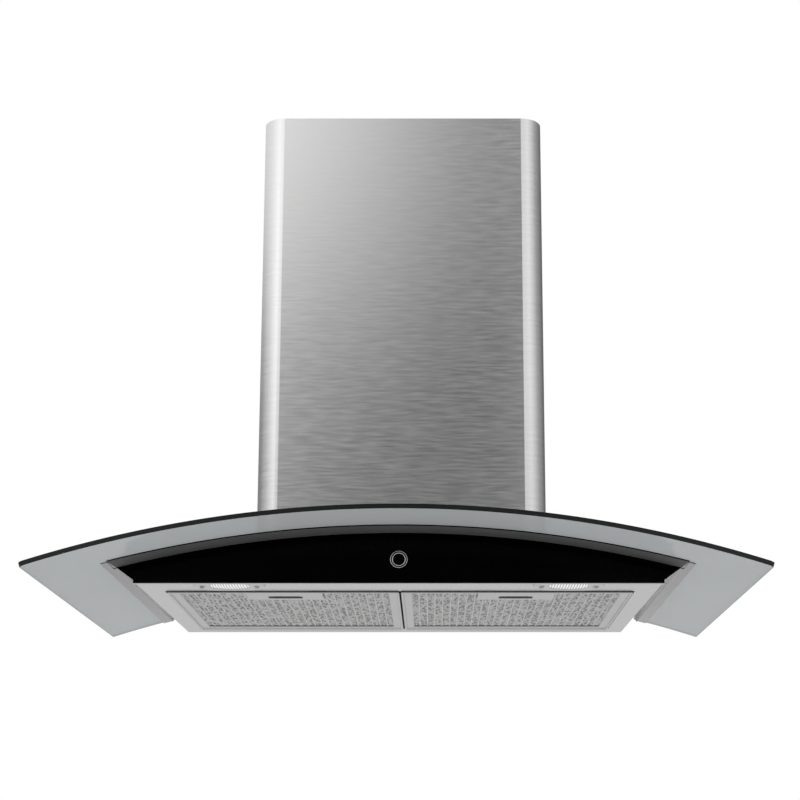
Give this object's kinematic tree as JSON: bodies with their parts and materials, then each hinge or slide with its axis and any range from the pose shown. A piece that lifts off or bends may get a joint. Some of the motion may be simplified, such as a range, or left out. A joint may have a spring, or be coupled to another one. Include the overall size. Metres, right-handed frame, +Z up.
{
  "type": "range hood",
  "caption": "Wall range hood with a curved smoked glass canopy, a flat black front, hinged grease filters, lamps and a telescopic steel chimney.",
  "frame": {"origin": "centre of the four wall bolt holes, on the wall plane", "axes": "+X across the hood to the right seen from the front, +Y towards the wall, +Z up"},
  "size_m": [0.75, 0.5, 0.5879],
  "materials": {
    "smoked_glass": "smoked, polished",
    "black_glass": "black backed, polished",
    "rubber": "matte",
    "brushed_steel": "brushed across",
    "zinc_steel": "zinc plated",
    "aluminium": "satin",
    "dark_plastic": "matte",
    "motor_paint": "satin black",
    "board": "solder mask",
    "chrome": "polished",
    "clear_glass": "ribbed clear"
  },
  "bodies": {
    "hood": {"blower_box": "zinc_steel", "bottom_tray": "brushed_steel", "box_screws": "zinc_steel", "button_bellows": "rubber", "button_bezel": "chrome", "button_switch": "dark_plastic", "cable_gland": "dark_plastic", "capacitor": "aluminium", "chimney_bracket": "zinc_steel", "chimney_lower": "brushed_steel", "chimney_screws": "zinc_steel", "control_board": "board", "control_box": "dark_plastic", "cutout_gasket": "rubber", "damper_pin": "zinc_steel", "duct_collar": "zinc_steel", "front_panel": "black_glass", "glass_canopy": "smoked_glass", "glass_screws": "zinc_steel", "glass_seal_strip": "rubber", "glass_washers": "rubber", "hood_shell": "brushed_steel", "lamp_bezel_left": "chrome", "lamp_bezel_right": "chrome", "lamp_bulb_left": "clear_glass", "lamp_bulb_right": "clear_glass", "lamp_housing_left": "zinc_steel", "lamp_housing_right": "zinc_steel", "lamp_lens_left": "clear_glass", "lamp_lens_right": "clear_glass", "lamp_screws": "zinc_steel", "motor_bracket": "zinc_steel", "motor_case": "motor_paint", "rear_rail_left": "brushed_steel", "rear_rail_right": "brushed_steel", "scroll_front": "dark_plastic", "scroll_rear": "dark_plastic", "shell_screws": "zinc_steel", "side_skirt_left": "brushed_steel", "side_skirt_right": "brushed_steel", "terminal_box": "dark_plastic"},
    "chimney_upper": {"chimney_upper": "brushed_steel"},
    "filter_left": {"filter_frame_left": "aluminium", "filter_face_left": "aluminium", "filter_pad_left": "aluminium", "latch_plate_left": "brushed_steel", "latch_spring_left": "zinc_steel"},
    "filter_right": {"filter_frame_right": "aluminium", "filter_face_right": "aluminium", "filter_pad_right": "aluminium", "latch_plate_right": "brushed_steel", "latch_spring_right": "zinc_steel"},
    "latch_left": {"filter_latch_left": "dark_plastic"},
    "latch_right": {"filter_latch_right": "dark_plastic"},
    "button": {"power_button": "chrome"},
    "fan": {"impeller": "dark_plastic", "motor_shaft": "zinc_steel"},
    "damper_left": {"damper_flap_left": "aluminium"},
    "damper_right": {"damper_flap_right": "aluminium"}
  },
  "joints": [
    {"name": "chimney_slide", "type": "slide", "parent": "hood", "child": "chimney_upper", "axis": [0, 0, 1], "range_m": [0, 0.3]},
    {"name": "button_press", "type": "slide", "parent": "hood", "child": "button", "axis": [0, 1, 0], "range_m": [0, 0.0012], "stiffness_N_per_m": 800, "springref_m": -0.001, "deforming": ["button_bellows"]},
    {"name": "impeller_spin", "type": "hinge", "parent": "hood", "child": "fan", "pos_m": [-0.05, -0.1, 0.005], "axis": [0, 1, 0], "continuous": true},
    {"name": "filter_left_hinge", "type": "hinge", "parent": "hood", "child": "filter_left", "pos_m": [0, -0.0316, -0.1595], "axis": [1, 0, 0], "range_deg": [0, 75]},
    {"name": "latch_left_slide", "type": "slide", "parent": "filter_left", "child": "latch_left", "axis": [0, 1, 0], "range_m": [0, 0.004], "stiffness_N_per_m": 300, "springref_m": -0.002, "deforming": ["latch_spring_left"]},
    {"name": "damper_left_hinge", "type": "hinge", "parent": "hood", "child": "damper_left", "pos_m": [0, -0.1175, 0.1416], "axis": [0, 1, 0], "range_deg": [0, 78]},
    {"name": "filter_right_hinge", "type": "hinge", "parent": "hood", "child": "filter_right", "pos_m": [0, -0.0316, -0.1595], "axis": [1, 0, 0], "range_deg": [0, 75]},
    {"name": "latch_right_slide", "type": "slide", "parent": "filter_right", "child": "latch_right", "axis": [0, 1, 0], "range_m": [0, 0.004], "stiffness_N_per_m": 300, "springref_m": -0.002, "deforming": ["latch_spring_right"]},
    {"name": "damper_right_hinge", "type": "hinge", "parent": "hood", "child": "damper_right", "pos_m": [0, -0.1175, 0.1416], "axis": [0, -1, 0], "range_deg": [0, 78]}
  ]
}
